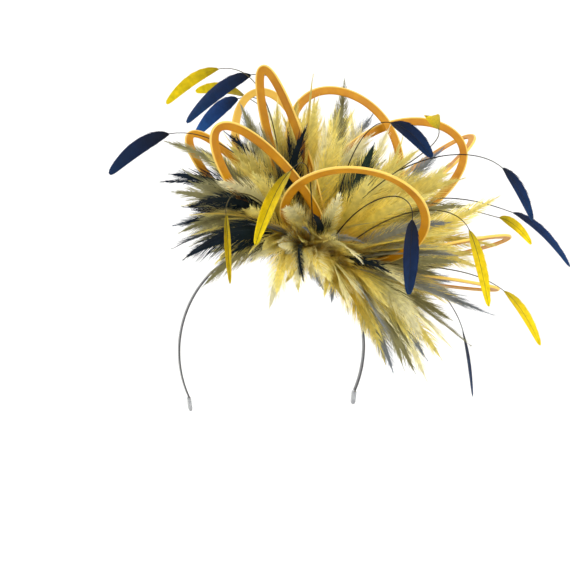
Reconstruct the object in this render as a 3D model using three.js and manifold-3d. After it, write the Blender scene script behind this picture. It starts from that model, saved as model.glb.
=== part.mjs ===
// A feather fascinator on a thin headband. A domed base rides on the band to one side of the crown. A pad
// of hackle feathers covers it, and satin-covered loops and trimmed quills with leaf-shaped tips rise out
// of the pad. Millimetres and degrees. +X is the side that the base sits on, +Y the far side and +Z up. The
// origin is the underside of the band at its highest point, where it rests on the crown of a head.
import * as THREE from "three";
import { mergeVertices } from "three/addons/utils/BufferGeometryUtils.js";
import Module from "manifold-3d";

const GAP = 0.3; // left between pieces that touch

// The band is an arc of an ellipse, seen along Y, that turns in again below its widest point.
const BAND = { halfWidth: 74, rise: 80, endAngle: 116, width: 6, thickness: 1.4, steps: 34 };
const TIP = { length: 11, width: 7.6, thickness: 3, flare: 16 };

// The head that the band fits, which the hanging feathers stay clear of.
const HEAD = new THREE.Vector3(76, 96, 80);

// The base is a cap of a sphere. It touches the band at seatAngle along the band's arc.
const BASE = { innerRadius: 85, thickness: 3, radius: 35, seatAngle: 24, tiltFront: 6 };
const PAD = { radius: 32, edge: 1.2, crown: 10, rootDepth: 3.5 };

// Satin loops. Bearing is anticlockwise from +X seen from above, and rise is above the horizontal. Reach
// runs from the foot to the far end, and breadth is the widest point across. Roll turns the loop's plane
// about that line, from level at 0 to upright at 90. Full is 0 for a teardrop and 1 for an ellipse, and
// sway shifts its middle to one side. Spot and seat place the foot on the pad: its bearing round the pad's
// axis and its distance from it.
const LOOP = { width: 7, thickness: 2.6, footWidth: 4, footGap: 6, steps: 20 };
const LOOPS = [
  { name: "loop_left_tall", bearing: 172, rise: 73, reach: 146, breadth: 21, roll: 70, full: 1, sway: 0,
    spot: 60, seat: 5 },
  { name: "loop_centre_round", bearing: 84, rise: 73, reach: 145, breadth: 88, roll: 4, full: 0.35, sway: -9,
    spot: 10, seat: 26 },
  { name: "loop_left_low", bearing: 205, rise: 44, reach: 135, breadth: 38, roll: 65, full: 1, sway: 0,
    spot: 270, seat: 5 },
  { name: "loop_right_high", bearing: 12, rise: 34, reach: 158, breadth: 74, roll: 72, full: 0.7, sway: 10,
    spot: 70, seat: 18 },
  { name: "loop_front_wide", bearing: 290, rise: 28, reach: 116, breadth: 98, roll: -32, full: 1, sway: 0,
    spot: 250, seat: 14 },
  { name: "loop_back_round", bearing: 98, rise: 54, reach: 150, breadth: 52, roll: -30, full: 0.4, sway: 0,
    spot: 110, seat: 26 },
  { name: "loop_back_right", bearing: 24, rise: 30, reach: 190, breadth: 40, roll: 0, full: 0.6, sway: 0,
    spot: 60, seat: 27 },
  { name: "loop_right_level", bearing: 5, rise: 9, reach: 142, breadth: 26, roll: -25, full: 0, sway: 0,
    spot: 338, seat: 28 },
  { name: "loop_right_low", bearing: 2, rise: -9, reach: 141, breadth: 26, roll: -12, full: 0, sway: 0,
    spot: 280, seat: 30 },
  { name: "loop_back_left", bearing: 126, rise: 40, reach: 126, breadth: 24, roll: -40, full: 0.6, sway: 0,
    spot: 170, seat: 26 },
  { name: "loop_back_low", bearing: 8, rise: -26, reach: 76, breadth: 14, roll: -20, full: 0.8, sway: 0,
    spot: 28, seat: 29 },
];

// Trimmed quills. Bearing, rise and reach place the neck, where the bare quill ends and the leaf-shaped
// vane begins. The vane then runs along heading and pitch, and turn rolls its flat face about that line.
// Launch is the rise at which the quill leaves the pad, where spot and seat place its root as they do a
// loop's foot.
const QUILL = { radius: 0.7, steps: 7, vaneSteps: 5, vaneThickness: 0.9, sag: 0.1 };
const QUILLS = [
  { name: "navy_left", bearing: 147, rise: 36, reach: 152, heading: 152, pitch: -33, vane: 60,
    width: 13, turn: 80, launch: 62, spot: 180, seat: 12 },
  { name: "navy_upper_left", bearing: 108, rise: 55, reach: 168, heading: 144, pitch: -34, vane: 70,
    width: 14, turn: 80, launch: 84, spot: 100, seat: 31 },
  { name: "navy_back_left", bearing: 104, rise: 42, reach: 178, heading: 134, pitch: -36, vane: 54,
    width: 14, turn: 70, launch: 66, spot: 120, seat: 26 },
  { name: "navy_upper_right", bearing: 303, rise: 53, reach: 122, heading: 303, pitch: -34, vane: 46,
    width: 13, turn: 40, launch: 84, spot: 315, seat: 13 },
  { name: "navy_right", bearing: 359, rise: 22, reach: 166, heading: 359, pitch: -58, vane: 50,
    width: 13, turn: 60, launch: 78, spot: 348, seat: 14 },
  { name: "navy_far_right", bearing: 9, rise: 8, reach: 180, heading: 357, pitch: -42, vane: 68,
    width: 11, turn: 60, launch: 54, spot: 352, seat: 21 },
  { name: "navy_front", bearing: 285, rise: 12, reach: 135, heading: 241, pitch: -76, vane: 54,
    width: 13, turn: 10, launch: 52, spot: 278, seat: 20 },
  { name: "navy_low_right", bearing: 2, rise: -29, reach: 142, heading: 15, pitch: -79, vane: 55,
    width: 8, turn: 0, launch: 10, spot: 45, seat: 28 },
  { name: "yellow_upper_left", bearing: 127, rise: 55, reach: 173, heading: 149, pitch: -32, vane: 53,
    width: 10, turn: 60, launch: 90, spot: 140, seat: 29 },
  { name: "yellow_back_left", bearing: 100, rise: 42, reach: 180, heading: 139, pitch: 6, vane: 50,
    width: 12, turn: 60, launch: 66, spot: 135, seat: 27 },
  { name: "yellow_front", bearing: 244, rise: 30, reach: 125, heading: 210, pitch: -56, vane: 62,
    width: 13, turn: 20, launch: 68, spot: 253, seat: 21 },
  { name: "yellow_front_left", bearing: 219, rise: 15, reach: 118, heading: 265, pitch: -69, vane: 52,
    width: 9, turn: 20, launch: 55, spot: 198, seat: 25 },
  { name: "yellow_crest", bearing: 302, rise: 38, reach: 151, heading: 237, pitch: 11, vane: 40,
    width: 10, turn: 0, launch: 62, spot: 300, seat: 9 },
  { name: "yellow_right", bearing: 319, rise: 8, reach: 127, heading: 290, pitch: -68, vane: 60,
    width: 10, turn: 40, launch: 46, spot: 333, seat: 16 },
  { name: "yellow_far_right", bearing: 3, rise: 8, reach: 158, heading: 9, pitch: -36, vane: 38,
    width: 11, turn: 60, launch: 64, spot: 330, seat: 12 },
  { name: "yellow_low_right", bearing: 336, rise: -12, reach: 149, heading: 318, pitch: -54, vane: 50,
    width: 11, turn: 40, launch: -3, spot: 270, seat: 28 },
];

// Locks of hackle feathers in fans round the pad. Bearing and rise are those of the pad, whose axis leans
// to +X. A fan spreads from one bearing to another and leaves the pad at start from its axis. Rise varies
// by spread either way, droop is how far a lock sags as a share of its length, and roll turns its flat face
// about it. A lock that meets a loop or a quill is turned or lifted. Where no turn or lift clears it, it is
// slit by them.
const LOCK = { width: 19, thickness: 1.8, rootWidth: 5, rootDepth: 2.5, steps: 4, clear: 0.5, leastShare: 0.7 };
const LOCK_FANS = [
  { from: 150, to: 214, count: 5, rise: 1, spread: 5, length: 98, droop: 0.42, roll: 40, start: 28 },
  { from: 144, to: 208, count: 5, rise: 16, spread: 7, length: 112, droop: 0.26, roll: 50, start: 24 },
  { from: 116, to: 190, count: 5, rise: 36, spread: 8, length: 108, droop: 0.12, roll: 40, start: 18 },
  { from: 62, to: 144, count: 5, rise: 4, spread: 6, length: 108, droop: 0.34, roll: 20, start: 28 },
  { from: 48, to: 140, count: 5, rise: 28, spread: 8, length: 114, droop: 0.14, roll: 10, start: 23 },
  { from: 25, to: 150, count: 7, rise: 62, spread: 10, length: 118, droop: 0.04, roll: 0, start: 15 },
  { from: -66, to: 46, count: 8, rise: 0, spread: 5, length: 86, droop: 0.55, roll: 20, start: 29 },
  { from: -50, to: 42, count: 6, rise: 15, spread: 6, length: 114, droop: 0.24, roll: 45, start: 25 },
  { from: -42, to: 44, count: 6, rise: 36, spread: 8, length: 126, droop: 0.1, roll: 50, start: 20 },
  { from: -30, to: 50, count: 4, rise: 58, spread: 8, length: 118, droop: 0.04, roll: 30, start: 13 },
  { from: 208, to: 300, count: 6, rise: 4, spread: 5, length: 58, droop: 0.45, roll: 0, start: 27 },
  { from: 205, to: 305, count: 4, rise: 44, spread: 9, length: 64, droop: 0.2, roll: 0, start: 18 },
];
const TURNS = [0, 3, -3, 6, -6, 9, -9];
const LIFTS = [0, 4, -3, 8];

const COLOURS = {
  gold: 0xe09a12,
  lemon: 0xe8d873,
  navy: 0x16264f,
  yellow: 0xf0d400,
  black: 0x101014,
  steel: 0xb8c0c8,
  straw: 0xc79a2a,
};
const UP = new THREE.Vector3(0, 0, 1);
const GOLDEN = (Math.sqrt(5) - 1) / 2;
const { degToRad, smoothstep, lerp } = THREE.MathUtils;
const wasm = await Module();
wasm.setup();

function direction(bearing, rise) {
  const [b, r] = [degToRad(bearing), degToRad(rise)];
  return new THREE.Vector3(Math.cos(r) * Math.cos(b), Math.cos(r) * Math.sin(b), Math.sin(r));
}

function level(bearing) {
  return direction(bearing + 90, 0);
}

// A closed body through rings of the same number of points, with flat ends. Each ring runs anticlockwise
// seen from the far end.
function loft(rings) {
  const size = rings[0].length;
  const last = (rings.length - 1) * size;
  const faces = [];
  for (let i = 0; i < last; i += size) {
    for (let j = 0; j < size; j++) {
      const k = (j + 1) % size;
      faces.push(i + j, i + k, i + size + k, i + j, i + size + k, i + size + j);
    }
  }
  for (let j = 1; j < size - 1; j++) faces.push(0, j + 1, j, last, last + j, last + j + 1);
  return new THREE.BufferGeometry().setFromPoints(rings.flat()).setIndex(faces);
}

// One ring: flat points on the unit section, stretched to width along side and to thickness along face.
function ring(section, centre, side, face, width, thickness) {
  return section.map(([x, y]) => {
    return centre.clone().addScaledVector(side, x * width).addScaledVector(face, y * thickness);
  });
}

const FLAT_HEXAGON = [[0.5, 0], [0.3, 0.5], [-0.3, 0.5], [-0.5, 0], [-0.3, -0.5], [0.3, -0.5]];
const KEELED = [[0.5, -0.3], [0, 0.7], [-0.5, -0.3]];
const BOX = [[0.5, -0.5], [0.5, 0.5], [-0.5, 0.5], [-0.5, -0.5]];

// Sweeps a section along points. sideAt gives the direction of the section's width at each of them.
function sweep(section, points, sideAt, widthAt, thicknessAt) {
  const last = points.length - 1;
  return loft(
    points.map((centre, i) => {
      const along = points[Math.min(i + 1, last)].clone().sub(points[Math.max(i - 1, 0)]).normalize();
      const side = sideAt(i / last, along).clone();
      side.addScaledVector(along, -side.dot(along)).normalize();
      const face = along.clone().cross(side);
      return ring(section, centre, side, face, widthAt(i / last), thicknessAt(i / last));
    }),
  );
}

function solid(geometry) {
  const bare = geometry.clone();
  bare.deleteAttribute("normal");
  bare.deleteAttribute("uv");
  const merged = mergeVertices(bare, 1e-4);
  return new wasm.Manifold(
    new wasm.Mesh({
      numProp: 3,
      vertProperties: new Float32Array(merged.attributes.position.array),
      triVerts: new Uint32Array(merged.index.array),
    }),
  );
}

function geometryOf(made) {
  const { vertProperties, triVerts } = made.getMesh();
  return new THREE.BufferGeometry()
    .setAttribute("position", new THREE.BufferAttribute(vertProperties, 3))
    .setIndex(new THREE.BufferAttribute(triVerts, 1));
}

function piece(name, geometry, colour, roughness, metalness = 0) {
  const shown = geometry.index ? geometry.toNonIndexed() : geometry;
  shown.computeVertexNormals();
  const material = new THREE.MeshStandardMaterial({ color: colour, roughness, metalness });
  const mesh = new THREE.Mesh(shown, material);
  mesh.name = name;
  return mesh;
}

// A point of the band's arc, at offset outwards from its underside.
function bandPoint(angle, offset) {
  const a = degToRad(angle);
  const outwards = new THREE.Vector3(BAND.rise * Math.sin(a), 0, BAND.halfWidth * Math.cos(a)).normalize();
  const at = new THREE.Vector3(BAND.halfWidth * Math.sin(a), 0, BAND.rise * (Math.cos(a) - 1));
  return { at: at.addScaledVector(outwards, offset), outwards };
}

function headbandGeometry(lift = 0) {
  const points = [];
  for (let i = 0; i <= BAND.steps; i++) {
    points.push(bandPoint(lerp(-BAND.endAngle, BAND.endAngle, i / BAND.steps), BAND.thickness / 2).at);
  }
  const across = new THREE.Vector3(0, -1, 0);
  return sweep(BOX, points, () => across, () => BAND.width + 2 * lift, () => BAND.thickness + 2 * lift);
}

// A rounded cap past the end of the band that flares away from the head.
function bandTip(name, sign) {
  const end = bandPoint(sign * BAND.endAngle, BAND.thickness / 2).at;
  const before = bandPoint(sign * (BAND.endAngle - 3), BAND.thickness / 2).at;
  const across = new THREE.Vector3(0, -1, 0);
  const along = end.clone().sub(before).normalize().applyAxisAngle(across, sign * degToRad(TIP.flare));
  const points = [0, 0.15, 0.5, 0.82, 1].map((t) => end.clone().addScaledVector(along, GAP + t * TIP.length));
  const shape = (t) => (t < 1 ? 1 : 0.55) * (t > 0 ? 1 : 0.8);
  const width = (t) => TIP.width * shape(t);
  const thickness = (t) => TIP.thickness * shape(t);
  return piece(name, sweep(FLAT_HEXAGON, points, () => across, width, thickness), COLOURS.steel, 0.25, 0.9);
}

// The base and the pad turn about the centre of the sphere that the base is a cap of.
const crest = new THREE.Group();
const contact = bandPoint(BASE.seatAngle, BAND.thickness + GAP);
crest.position.copy(contact.at).addScaledVector(contact.outwards, -BASE.innerRadius);
crest.rotation.set(degToRad(BASE.tiltFront), Math.atan2(contact.outwards.x, contact.outwards.z), 0, "YXZ");
crest.updateMatrixWorld(true);

function arcPoints(radius, fromR, toR, steps) {
  const points = [];
  for (let i = 0; i <= steps; i++) {
    const r = lerp(fromR, toR, i / steps);
    points.push(new THREE.Vector2(r, Math.sqrt(radius * radius - r * r)));
  }
  return points;
}

function lathed(profile, segments) {
  return new THREE.LatheGeometry(profile, segments).rotateX(Math.PI / 2);
}

function baseGeometry(lift = 0) {
  const inner = BASE.innerRadius - lift;
  const outer = BASE.innerRadius + BASE.thickness + lift;
  const edge = BASE.radius + lift;
  return lathed([...arcPoints(inner, 0, edge, 4), ...arcPoints(outer, edge, 0, 4)], 24);
}

const padFloor = BASE.innerRadius + BASE.thickness + GAP;

// Height of the pad's upper face above the centre of the base's sphere, at radius r from the axis.
function padHeight(r, lift = 0) {
  const rim = Math.sqrt(padFloor * padFloor - PAD.radius * PAD.radius) + PAD.edge;
  return rim + lift + PAD.crown * Math.sqrt(Math.max(0, 1 - (r / (PAD.radius + lift)) ** 2));
}

function padGeometry(lift = 0) {
  const top = [];
  for (let i = 0; i <= 6; i++) {
    const r = (PAD.radius + lift) * Math.cos((i / 6) * (Math.PI / 2));
    top.push(new THREE.Vector2(i < 6 ? r : 0, padHeight(r, lift)));
  }
  return lathed([...arcPoints(padFloor - lift, 0, PAD.radius + lift, 3), ...top], 24);
}

// A point under the pad's upper face, in the part's frame. Bearing is round the pad's axis.
function rootPoint(bearing, r, depth) {
  const at = direction(bearing, 0).multiplyScalar(r);
  at.z = padHeight(r) - depth;
  return crest.localToWorld(at);
}

function loopPath(row, steps) {
  const along = direction(row.bearing, row.rise);
  const sideways = level(row.bearing);
  const side = sideways.clone().applyAxisAngle(along, degToRad(row.roll));
  const normal = along.clone().cross(side);
  const foot = rootPoint(row.spot, row.seat, PAD.rootDepth);
  const points = [];
  for (let i = 0; i <= steps; i++) {
    const t = (i / steps) * 2 * Math.PI;
    const bulge = lerp(1.3 * Math.sin(t / 2), 1, row.full) * Math.sin(t) * (row.breadth / 2);
    const across = bulge + (LOOP.footGap / 2) * Math.cos(t / 2) + row.sway * Math.sin(t) ** 2;
    const out = Math.sin(t / 2) ** 2;
    points.push(foot.clone().addScaledVector(along, row.reach * out).addScaledVector(side, across));
  }
  return { points, normal };
}

function loopGeometry(row, section, grow = 0) {
  const { points, normal } = loopPath(row, LOOP.steps);
  const pinch = (t) => smoothstep(Math.min(t, 1 - t), 0, 0.16);
  const side = (t, along) => normal.clone().cross(along).negate();
  const width = (t) => lerp(LOOP.footWidth, LOOP.width, pinch(t)) + grow;
  return sweep(section, points, side, width, () => LOOP.thickness + grow);
}

function quillPath(row) {
  const root = rootPoint(row.spot, row.seat, PAD.rootDepth);
  const centre = rootPoint(0, 0, PAD.rootDepth);
  const neck = centre.clone().addScaledVector(direction(row.bearing, row.rise), row.reach);
  const leaf = direction(row.heading, row.pitch);
  const bend = leaf.clone().addScaledVector(UP, QUILL.sag * 4).normalize();
  const stem = new THREE.CubicBezierCurve3(
    root,
    root.clone().addScaledVector(direction(row.bearing, row.launch), row.reach * 0.45),
    neck.clone().addScaledVector(bend, -row.reach * 0.25),
    neck,
  );
  const points = stem.getPoints(QUILL.steps);
  for (let i = 1; i <= QUILL.vaneSteps; i++) {
    const s = i / QUILL.vaneSteps;
    const lift = QUILL.sag * 4 * s * (1 - s);
    points.push(neck.clone().addScaledVector(leaf, row.vane * s).addScaledVector(UP, row.vane * lift));
  }
  return points;
}

// A round stem that spreads into a thin leaf past the neck.
function quillGeometry(row, section, grow = 0) {
  const stem = QUILL.radius * 2;
  const neck = QUILL.steps / (QUILL.steps + QUILL.vaneSteps);
  const vaneShare = (t) => Math.max(0, (t - neck) / (1 - neck));
  const leaf = (s) => (s > 0 ? Math.sin(Math.PI * Math.min(1, s ** 0.8 * 0.93)) ** 0.7 : 0);
  const side = (t, along) => {
    const turned = smoothstep(t, neck - 0.15, neck + 0.1);
    return level(row.bearing).applyAxisAngle(along, degToRad(row.turn) * turned);
  };
  const width = (t) => lerp(stem, row.width, leaf(vaneShare(t))) + grow;
  const thickness = (t) => lerp(stem, QUILL.vaneThickness, Math.min(1, vaneShare(t) * 4)) + grow;
  return sweep(section, quillPath(row), side, width, thickness);
}

// Moves a point that lies inside the head away from its centre to its surface.
function outsideHead(point) {
  const scaled = point.clone().setZ(point.z + HEAD.z).divide(HEAD);
  const size = scaled.length();
  if (size >= 1) return point;
  return scaled.divideScalar(size).multiply(HEAD).setZ(scaled.z - HEAD.z);
}

function lockGeometry(row, bearing, rise, length, roll) {
  const root = rootPoint(bearing, row.start, LOCK.rootDepth);
  const out = direction(bearing, rise).applyQuaternion(crest.quaternion);
  const side = level(bearing).applyQuaternion(crest.quaternion).applyAxisAngle(out, degToRad(roll));
  const points = [];
  for (let i = 0; i <= LOCK.steps; i++) {
    const s = i / LOCK.steps;
    const at = root.clone().addScaledVector(out, length * s).addScaledVector(UP, -length * row.droop * s * s);
    points.push(i < 2 ? at : outsideHead(at));
  }
  const point = (t) => (t < 1 ? 1 : 0.3);
  const width = (t) => lerp(LOCK.rootWidth, LOCK.width, Math.sin(Math.PI * 0.9 * t ** 1.3)) * point(t);
  return sweep(KEELED, points, () => side, width, (t) => LOCK.thickness * point(t));
}

// A lock at the first turn and lift that clears the obstacles. Where none does, it is cut by them, and left
// out if too little of it stays on the pad.
function placedLock(row, bearing, rise, length, roll, pad, obstacles) {
  for (const lift of LIFTS) {
    for (const turn of TURNS) {
      const lock = solid(lockGeometry(row, bearing + turn, rise + lift, length, roll));
      if (lock.intersect(obstacles).volume() === 0) return lock;
    }
  }
  const whole = solid(lockGeometry(row, bearing, rise, length, roll));
  const held = whole.subtract(obstacles).decompose().filter((body) => body.intersect(pad).volume() > 0);
  return held.find((body) => body.volume() > LOCK.leastShare * whole.volume());
}

function ruffGeometry(obstacles) {
  const pad = solid(padGeometry().applyMatrix4(crest.matrixWorld));
  const bodies = [pad];
  for (const [fan, row] of LOCK_FANS.entries()) {
    for (let i = 0; i < row.count; i++) {
      const jitter = ((i + 1 + fan * 7) * GOLDEN) % 1;
      const other = (jitter * 7) % 1;
      const bearing = lerp(row.from, row.to, (i + 0.5 * jitter + 0.25) / row.count);
      const rise = row.rise + row.spread * (2 * other - 1);
      const length = row.length * lerp(0.84, 1.12, jitter);
      const lock = placedLock(row, bearing, rise, length, row.roll + 30 * (other - 0.5), pad, obstacles);
      if (lock) bodies.push(lock);
    }
  }
  return geometryOf(wasm.Manifold.union(bodies));
}

const base = solid(baseGeometry(GAP).applyMatrix4(crest.matrixWorld));

// What the loops and quills are sewn to, grown by the gap. The largest body of each that lies outside it is
// kept.
const seat = wasm.Manifold.union([base, solid(padGeometry(GAP).applyMatrix4(crest.matrixWorld))]);
function seated(geometry) {
  const bodies = solid(geometry).subtract(seat).decompose();
  return geometryOf(bodies.reduce((most, body) => (body.volume() > most.volume() ? body : most)));
}

const fascinator = new THREE.Group();
fascinator.add(piece("headband", headbandGeometry(), COLOURS.black, 0.3, 0.6));
fascinator.add(bandTip("band_tip_left", -1), bandTip("band_tip_right", 1));
crest.add(piece("base_disc", baseGeometry(), COLOURS.straw, 0.8));
fascinator.add(crest);
for (const row of LOOPS) {
  fascinator.add(piece(row.name, seated(loopGeometry(row, FLAT_HEXAGON)), COLOURS.gold, 0.55));
}
for (const row of QUILLS) {
  const colour = row.name.startsWith("navy") ? COLOURS.navy : COLOURS.yellow;
  fascinator.add(piece(row.name, seated(quillGeometry(row, FLAT_HEXAGON)), colour, 0.5));
}

const obstacles = wasm.Manifold.union([
  base,
  solid(headbandGeometry(GAP)),
  ...LOOPS.map((row) => solid(loopGeometry(row, BOX, LOCK.clear * 2))),
  ...QUILLS.map((row) => solid(quillGeometry(row, BOX, LOCK.clear * 2))),
]);
fascinator.add(piece("hackle_ruff", ruffGeometry(obstacles), COLOURS.lemon, 0.9));

export default fascinator;
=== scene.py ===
import math

import bpy
import numpy as np
from mathutils import Matrix, Vector


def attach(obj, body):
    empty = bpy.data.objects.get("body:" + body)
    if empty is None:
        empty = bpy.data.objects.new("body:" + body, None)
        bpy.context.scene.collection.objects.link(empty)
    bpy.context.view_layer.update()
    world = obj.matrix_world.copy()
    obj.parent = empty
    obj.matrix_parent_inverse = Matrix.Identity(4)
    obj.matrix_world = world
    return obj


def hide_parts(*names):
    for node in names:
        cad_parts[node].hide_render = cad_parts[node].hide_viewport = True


# A feather fascinator: a headband, a dished base, golden satin loops, navy and yellow quills trimmed to
# a leaf at the tip, and a ruff of hackle feathers. Shapes are worked out in millimetres, angles are in
# degrees, and each mesh is in metres. The band, base, loops and quills are laid out as in the frame, and
# the feathers of the ruff stand round its locks.
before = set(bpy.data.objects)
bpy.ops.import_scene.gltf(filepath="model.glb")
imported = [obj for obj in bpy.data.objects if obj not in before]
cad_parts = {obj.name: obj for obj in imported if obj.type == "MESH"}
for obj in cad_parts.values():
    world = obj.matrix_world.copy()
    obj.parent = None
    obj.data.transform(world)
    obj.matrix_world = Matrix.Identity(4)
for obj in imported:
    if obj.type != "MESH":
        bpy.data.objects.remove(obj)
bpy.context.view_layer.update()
MM = 0.001
rng = np.random.default_rng(seed=29)

GAP = 0.3
BAND = dict(half_width=74, rise=80, end_angle=116, width=6, thickness=1.4)
TIP = dict(length=11, width=7.6, thickness=3, flare=16, crimps=(0.2, 0.34), crimp_depth=0.09)
HEAD = np.array([76, 96, 80])
# The camera, which is the photo's, and the point that it looks at, in metres, and the photo's size in pixels.
VIEW = dict(azimuth=-15, elevation=5, distance=1.3, lens=105.3, sensor=36)
MIDDLE = Vector((0.0087, -0.005, -0.0295))
PHOTO_SIZE = 570
BASE = dict(inner_radius=85, thickness=3, radius=35, binding=1.5, inset=0.6, seat_angle=24, tilt_front=6)
PAD = dict(radius=32, edge=1.2, crown=10, root_depth=3.5, hackle_depth=2.5)
LOOP = dict(width=7, thickness=2.6, foot_width=4, foot_gap=6)
QUILL = dict(radius=0.7, tip_radius=0.16, sag=0.1, stem_share=7 / 12, barbs_per_mm=2)

# Satin loops, as in the frame. Spot and seat place the foot on the pad.
LOOPS = [
    dict(name="loop_left_tall", bearing=172, rise=73, reach=146, breadth=21,
         roll=70, full=1, sway=0, spot=60, seat=5),
    dict(name="loop_centre_round", bearing=84, rise=73, reach=145, breadth=88,
         roll=4, full=0.35, sway=-9, spot=10, seat=26),
    dict(name="loop_left_low", bearing=205, rise=44, reach=135, breadth=38,
         roll=65, full=1, sway=0, spot=270, seat=5),
    dict(name="loop_right_high", bearing=12, rise=34, reach=158, breadth=74,
         roll=72, full=0.7, sway=10, spot=70, seat=18),
    dict(name="loop_front_wide", bearing=290, rise=28, reach=116, breadth=98,
         roll=-32, full=1, sway=0, spot=250, seat=14),
    dict(name="loop_back_round", bearing=98, rise=54, reach=150, breadth=52,
         roll=-30, full=0.4, sway=0, spot=110, seat=26),
    dict(name="loop_back_right", bearing=24, rise=30, reach=190, breadth=40,
         roll=0, full=0.6, sway=0, spot=60, seat=27),
    dict(name="loop_right_level", bearing=5, rise=9, reach=142, breadth=26,
         roll=-25, full=0, sway=0, spot=338, seat=28),
    dict(name="loop_right_low", bearing=2, rise=-9, reach=141, breadth=26,
         roll=-12, full=0, sway=0, spot=280, seat=30),
    dict(name="loop_back_left", bearing=126, rise=40, reach=126, breadth=24,
         roll=-40, full=0.6, sway=0, spot=170, seat=26),
    dict(name="loop_back_low", bearing=8, rise=-26, reach=76, breadth=14,
         roll=-20, full=0.8, sway=0, spot=28, seat=29),
]
# Quills, as in the frame. The stem leaves the pad at launch and ends at the neck, where the leaf begins.
QUILLS = [
    dict(name="navy_left", bearing=147, rise=36, reach=152, heading=152, pitch=-33,
         vane=60, width=13, turn=80, launch=62, spot=180, seat=12),
    dict(name="navy_upper_left", bearing=108, rise=55, reach=168, heading=144, pitch=-34,
         vane=70, width=14, turn=80, launch=84, spot=100, seat=31),
    dict(name="navy_back_left", bearing=104, rise=42, reach=178, heading=134, pitch=-36,
         vane=54, width=14, turn=70, launch=66, spot=120, seat=26),
    dict(name="navy_upper_right", bearing=303, rise=53, reach=122, heading=303, pitch=-34,
         vane=46, width=13, turn=40, launch=84, spot=315, seat=13),
    dict(name="navy_right", bearing=359, rise=22, reach=166, heading=359, pitch=-58,
         vane=50, width=13, turn=60, launch=78, spot=348, seat=14),
    dict(name="navy_far_right", bearing=9, rise=8, reach=180, heading=357, pitch=-42,
         vane=68, width=11, turn=60, launch=54, spot=352, seat=21),
    dict(name="navy_front", bearing=285, rise=12, reach=135, heading=241, pitch=-76,
         vane=54, width=13, turn=10, launch=52, spot=278, seat=20),
    dict(name="navy_low_right", bearing=2, rise=-29, reach=142, heading=15, pitch=-79,
         vane=55, width=8, turn=0, launch=10, spot=45, seat=28),
    dict(name="yellow_upper_left", bearing=127, rise=55, reach=173, heading=149, pitch=-32,
         vane=53, width=10, turn=60, launch=90, spot=140, seat=29),
    dict(name="yellow_back_left", bearing=100, rise=42, reach=180, heading=139, pitch=6,
         vane=50, width=12, turn=60, launch=66, spot=135, seat=27),
    dict(name="yellow_front", bearing=244, rise=30, reach=125, heading=210, pitch=-56,
         vane=62, width=13, turn=20, launch=68, spot=253, seat=21),
    dict(name="yellow_front_left", bearing=219, rise=15, reach=118, heading=265, pitch=-69,
         vane=52, width=9, turn=20, launch=55, spot=198, seat=25),
    dict(name="yellow_crest", bearing=302, rise=38, reach=151, heading=237, pitch=11,
         vane=40, width=10, turn=0, launch=62, spot=300, seat=9),
    dict(name="yellow_right", bearing=319, rise=8, reach=127, heading=290, pitch=-68,
         vane=60, width=10, turn=40, launch=46, spot=333, seat=16),
    dict(name="yellow_far_right", bearing=3, rise=8, reach=158, heading=9, pitch=-36,
         vane=38, width=11, turn=60, launch=64, spot=330, seat=12),
    dict(name="yellow_low_right", bearing=336, rise=-12, reach=149, heading=318, pitch=-54,
         vane=50, width=11, turn=40, launch=-3, spot=270, seat=28),
]
# The fans that the ruff's feathers fill, in the pad's own directions. Five of those on the right and in
# front are turned, lowered or shortened a little against the frame's locks.
HACKLE_FANS = [
    dict(first=150, last=214, count=5, rise=1, spread=5, length=98, droop=0.42, roll=40, start=28),
    dict(first=144, last=208, count=5, rise=16, spread=7, length=112, droop=0.26, roll=50, start=24),
    dict(first=116, last=190, count=5, rise=36, spread=8, length=108, droop=0.12, roll=40, start=18),
    dict(first=62, last=144, count=5, rise=4, spread=6, length=108, droop=0.34, roll=20, start=28),
    dict(first=48, last=140, count=5, rise=28, spread=8, length=114, droop=0.14, roll=10, start=23),
    dict(first=25, last=150, count=7, rise=62, spread=10, length=118, droop=0.04, roll=0, start=15),
    dict(first=-66, last=46, count=8, rise=0, spread=5, length=72, droop=0.62, roll=20, start=29),
    dict(first=-50, last=42, count=6, rise=15, spread=6, length=102, droop=0.3, roll=45, start=25),
    dict(first=-38, last=48, count=6, rise=31, spread=8, length=126, droop=0.1, roll=50, start=20),
    dict(first=2, last=64, count=4, rise=58, spread=8, length=118, droop=0.04, roll=30, start=13),
    dict(first=208, last=300, count=6, rise=4, spread=5, length=58, droop=0.45, roll=0, start=27),
    dict(first=205, last=305, count=4, rise=34, spread=9, length=56, droop=0.2, roll=0, start=18),
]
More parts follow.
